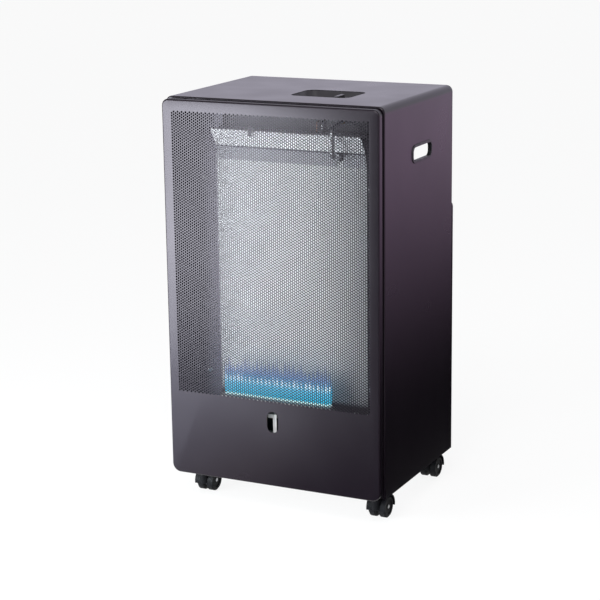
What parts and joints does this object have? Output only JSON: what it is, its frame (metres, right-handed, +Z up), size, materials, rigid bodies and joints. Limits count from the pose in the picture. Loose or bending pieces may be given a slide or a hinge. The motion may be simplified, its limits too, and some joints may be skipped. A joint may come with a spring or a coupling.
{
  "type": "portable gas cabinet heater",
  "caption": "Sheet-steel gas cabinet heater with a perforated front, bar burner, bottle bay with a pull-off rear cover, sunken controls and twin-wheel casters.",
  "frame": {"origin": "on the floor under the middle of the whole heater", "axes": "+X right seen from the front, -Y out of the front, +Z up"},
  "size_m": [0.423, 0.416, 0.746],
  "materials": {
    "cabinet_paint": "satin metallic graphite",
    "black_plastic": "fine grain",
    "knob_plastic": "satin",
    "caster_plastic": "moulded",
    "zinc_steel": "zinc plated",
    "bright_steel": "bright rolled",
    "burner_steel": "aluminised",
    "brass": "machined",
    "aluminium_tube": "drawn",
    "lead_sleeve": "smooth",
    "ceramic": "glazed"
  },
  "bodies": {
    "cabinet": {"cabinet_shell": "cabinet_paint", "front_panel": "cabinet_paint", "control_tray": "cabinet_paint", "handle_insert_left": "black_plastic", "handle_insert_right": "black_plastic", "base_tray": "zinc_steel", "caster_sockets": "zinc_steel", "rear_partition": "zinc_steel", "chamber_floor": "zinc_steel", "top_heat_shield": "zinc_steel", "back_reflector": "bright_steel", "side_reflector_left": "bright_steel", "side_reflector_right": "bright_steel", "top_deflector": "bright_steel", "reflector_screws": "zinc_steel", "panel_screws": "zinc_steel", "valve_screws": "zinc_steel", "burner_bar": "burner_steel", "burner_venturi": "burner_steel", "gas_injector": "brass", "injector_bracket": "zinc_steel", "burner_bracket_left": "zinc_steel", "burner_bracket_right": "zinc_steel", "pilot_bracket": "bright_steel", "pilot_burner": "brass", "thermocouple": "burner_steel", "spark_electrode": "ceramic", "gas_valve": "brass", "hose_nozzle": "brass", "main_gas_pipe": "aluminium_tube", "pilot_gas_pipe": "aluminium_tube", "thermocouple_lead": "brass", "ignition_lead": "lead_sleeve", "igniter_body": "black_plastic"},
    "cover": {"rear_cover": "cabinet_paint"},
    "push_plunger": {"valve_plunger": "brass"},
    "knob": {"control_knob": "knob_plastic", "valve_spindle": "zinc_steel"},
    "igniter": {"igniter_button": "knob_plastic"},
    "swivel_front_left": {"caster_hood_front_left": "caster_plastic", "caster_stem_front_left": "zinc_steel", "caster_axle_front_left": "zinc_steel"},
    "wheel_front_left_a": {"caster_wheel_front_left_a": "caster_plastic"},
    "wheel_front_left_b": {"caster_wheel_front_left_b": "caster_plastic"},
    "swivel_front_right": {"caster_hood_front_right": "caster_plastic", "caster_stem_front_right": "zinc_steel", "caster_axle_front_right": "zinc_steel"},
    "wheel_front_right_a": {"caster_wheel_front_right_a": "caster_plastic"},
    "wheel_front_right_b": {"caster_wheel_front_right_b": "caster_plastic"},
    "swivel_rear_left": {"caster_hood_rear_left": "caster_plastic", "caster_stem_rear_left": "zinc_steel", "caster_axle_rear_left": "zinc_steel"},
    "wheel_rear_left_a": {"caster_wheel_rear_left_a": "caster_plastic"},
    "wheel_rear_left_b": {"caster_wheel_rear_left_b": "caster_plastic"},
    "swivel_rear_right": {"caster_hood_rear_right": "caster_plastic", "caster_stem_rear_right": "zinc_steel", "caster_axle_rear_right": "zinc_steel"},
    "wheel_rear_right_a": {"caster_wheel_rear_right_a": "caster_plastic"},
    "wheel_rear_right_b": {"caster_wheel_rear_right_b": "caster_plastic"}
  },
  "joints": [
    {"name": "cover_pull", "type": "slide", "parent": "cabinet", "child": "cover", "axis": [0, 1, 0], "range_m": [0, 0.15]},
    {"name": "knob_push", "type": "slide", "parent": "cabinet", "child": "push_plunger", "axis": [0, 0, -1], "range_m": [0, 0.004], "stiffness_N_per_m": 800, "springref_m": -0.002},
    {"name": "knob_turn", "type": "hinge", "parent": "push_plunger", "child": "knob", "pos_m": [0.071, -0.069, 0.73], "axis": [0, 0, 1], "range_deg": [-210, 0]},
    {"name": "igniter_press", "type": "slide", "parent": "cabinet", "child": "igniter", "axis": [0, 0, -1], "range_m": [0, 0.005], "stiffness_N_per_m": 600, "springref_m": -0.003},
    {"name": "swivel_front_left", "type": "hinge", "parent": "cabinet", "child": "swivel_front_left", "pos_m": [-0.175, -0.15, 0.05], "axis": [0, 0, 1], "continuous": true},
    {"name": "roll_front_left_a", "type": "hinge", "parent": "swivel_front_left", "child": "wheel_front_left_a", "pos_m": [-0.175, -0.13, 0.02], "axis": [1, 0, 0], "continuous": true},
    {"name": "roll_front_left_b", "type": "hinge", "parent": "swivel_front_left", "child": "wheel_front_left_b", "pos_m": [-0.175, -0.13, 0.02], "axis": [1, 0, 0], "continuous": true},
    {"name": "swivel_front_right", "type": "hinge", "parent": "cabinet", "child": "swivel_front_right", "pos_m": [0.175, -0.15, 0.05], "axis": [0, 0, 1], "continuous": true},
    {"name": "roll_front_right_a", "type": "hinge", "parent": "swivel_front_right", "child": "wheel_front_right_a", "pos_m": [0.175, -0.13, 0.02], "axis": [1, 0, 0], "continuous": true},
    {"name": "roll_front_right_b", "type": "hinge", "parent": "swivel_front_right", "child": "wheel_front_right_b", "pos_m": [0.175, -0.13, 0.02], "axis": [1, 0, 0], "continuous": true},
    {"name": "swivel_rear_left", "type": "hinge", "parent": "cabinet", "child": "swivel_rear_left", "pos_m": [-0.175, 0.088, 0.05], "axis": [0, 0, 1], "continuous": true},
    {"name": "roll_rear_left_a", "type": "hinge", "parent": "swivel_rear_left", "child": "wheel_rear_left_a", "pos_m": [-0.175, 0.108, 0.02], "axis": [1, 0, 0], "continuous": true},
    {"name": "roll_rear_left_b", "type": "hinge", "parent": "swivel_rear_left", "child": "wheel_rear_left_b", "pos_m": [-0.175, 0.108, 0.02], "axis": [1, 0, 0], "continuous": true},
    {"name": "swivel_rear_right", "type": "hinge", "parent": "cabinet", "child": "swivel_rear_right", "pos_m": [0.175, 0.088, 0.05], "axis": [0, 0, 1], "continuous": true},
    {"name": "roll_rear_right_a", "type": "hinge", "parent": "swivel_rear_right", "child": "wheel_rear_right_a", "pos_m": [0.175, 0.108, 0.02], "axis": [1, 0, 0], "continuous": true},
    {"name": "roll_rear_right_b", "type": "hinge", "parent": "swivel_rear_right", "child": "wheel_rear_right_b", "pos_m": [0.175, 0.108, 0.02], "axis": [1, 0, 0], "continuous": true}
  ]
}
